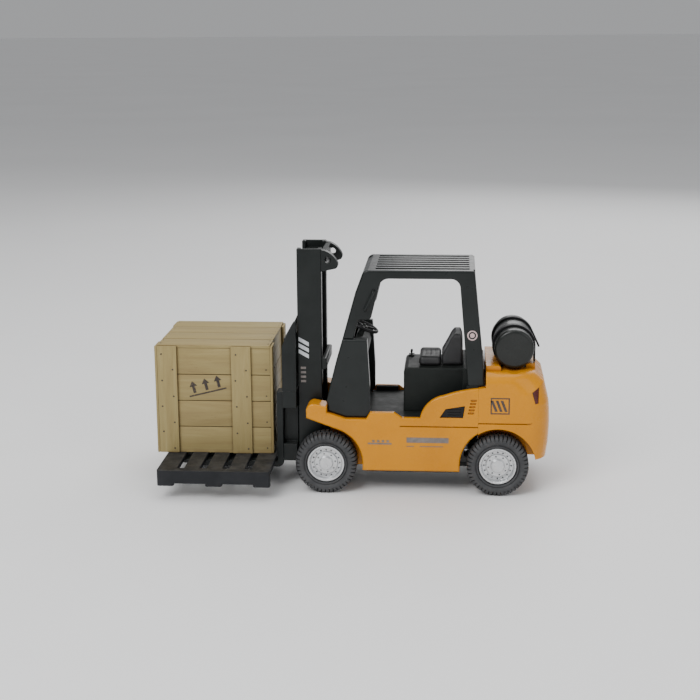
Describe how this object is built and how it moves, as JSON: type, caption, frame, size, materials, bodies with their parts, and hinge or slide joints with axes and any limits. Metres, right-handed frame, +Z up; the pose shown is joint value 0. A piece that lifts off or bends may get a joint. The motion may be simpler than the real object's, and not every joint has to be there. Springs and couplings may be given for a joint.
{
  "type": "toy forklift truck",
  "caption": "Toy counterbalance forklift with rolling wheels, an open cab, a rising two-stage mast and forks that carry a loose pallet and plank crate.",
  "frame": {"origin": "on the ground, under the middle of the whole toy at rest", "axes": "+X forward along the forks, +Y to the truck's left, +Z up"},
  "size_m": [0.191, 0.086, 0.1165],
  "materials": {
    "body_paint": "glossy amber-yellow paint on die-cast metal",
    "trim_black": "satin black moulded plastic",
    "cab_black": "satin dark grey-black moulded cab interior",
    "seat_black": "finely grained black plastic moulded as a seat",
    "guard_black": "satin black moulded guard and cowl",
    "mast_black": "satin black moulded mast, carriage and forks",
    "pallet_black": "matt black moulded pallet",
    "tank_grey": "semi-gloss dark grey plastic",
    "lamp_red": "glossy dark red lens",
    "rim_silver": "silver lacquered plastic",
    "tyre": "dull black-grey soft vinyl with moulded tread",
    "steel": "plain steel wire and screws",
    "rod_chrome": "bright plated rod",
    "crate_wood": "matt wood-coloured plastic moulded as pale planks"
  },
  "bodies": {
    "truck": {"base_plate": "trim_black", "base_screws": "steel", "body_shell": "body_paint", "cab_tub": "cab_black", "control_levers": "cab_black", "counterweight": "body_paint", "dashboard": "cab_black", "engine_hood": "cab_black", "front_cowl": "guard_black", "gas_tank": "tank_grey", "grab_handle": "guard_black", "guard_frame_left": "guard_black", "guard_frame_right": "guard_black", "intake_grille_left": "trim_black", "intake_grille_right": "trim_black", "lift_cylinder": "mast_black", "mast_channel_left": "mast_black", "mast_channel_right": "mast_black", "mast_foot": "mast_black", "mast_head": "mast_black", "mast_tie": "mast_black", "roof_panel": "guard_black", "seat_back": "seat_black", "seat_cushion": "seat_black", "steering_column": "cab_black", "tail_light_left": "lamp_red", "tail_light_right": "lamp_red", "tank_strap_left": "trim_black", "tank_strap_right": "trim_black"},
    "steering": {"steering_wheel": "trim_black"},
    "front_wheels": {"front_axle": "steel", "front_tyre_left": "tyre", "front_tyre_right": "tyre", "front_rim_left": "rim_silver", "front_rim_right": "rim_silver"},
    "rear_wheels": {"rear_axle": "steel", "rear_tyre_left": "tyre", "rear_tyre_right": "tyre", "rear_rim_left": "rim_silver", "rear_rim_right": "rim_silver"},
    "inner_mast": {"inner_channel_left": "mast_black", "inner_channel_right": "mast_black", "inner_head": "mast_black", "inner_tie": "mast_black", "lift_rod": "rod_chrome"},
    "fork_carriage": {"carriage": "mast_black", "load_backrest": "mast_black", "fork_left": "mast_black", "fork_right": "mast_black"},
    "pallet": {"pallet": "pallet_black"},
    "crate": {"crate_box": "crate_wood", "crate_base": "crate_wood"}
  },
  "joints": [
    {"name": "front_wheel_spin", "type": "hinge", "parent": "truck", "child": "front_wheels", "pos_m": [0.011, 0, 0.01475], "axis": [0, 1, 0], "continuous": true},
    {"name": "rear_wheel_spin", "type": "hinge", "parent": "truck", "child": "rear_wheels", "pos_m": [-0.071, 0, 0.01475], "axis": [0, 1, 0], "continuous": true},
    {"name": "steering_turn", "type": "hinge", "parent": "truck", "child": "steering", "pos_m": [-0.0058, 0, 0.0764], "axis": [-0.4067, 0, 0.9135], "continuous": true},
    {"name": "mast_lift", "type": "slide", "parent": "truck", "child": "inner_mast", "axis": [0, 0, 1], "range_m": [-0.0035, 0.04]},
    {"name": "fork_lift", "type": "slide", "parent": "inner_mast", "child": "fork_carriage", "axis": [0, 0, 1], "range_m": [-0.0035, 0.04]},
    {"name": "pallet_slide", "type": "slide", "parent": "fork_carriage", "child": "pallet", "axis": [1, 0, 0], "range_m": [0, 0.056]},
    {"name": "crate_lift", "type": "slide", "parent": "pallet", "child": "crate", "axis": [0, 0, 1], "range_m": [0, 0.04]}
  ],
  "couplings": [
    {"joint": "fork_lift", "follows": "mast_lift", "ratio": 1}
  ]
}
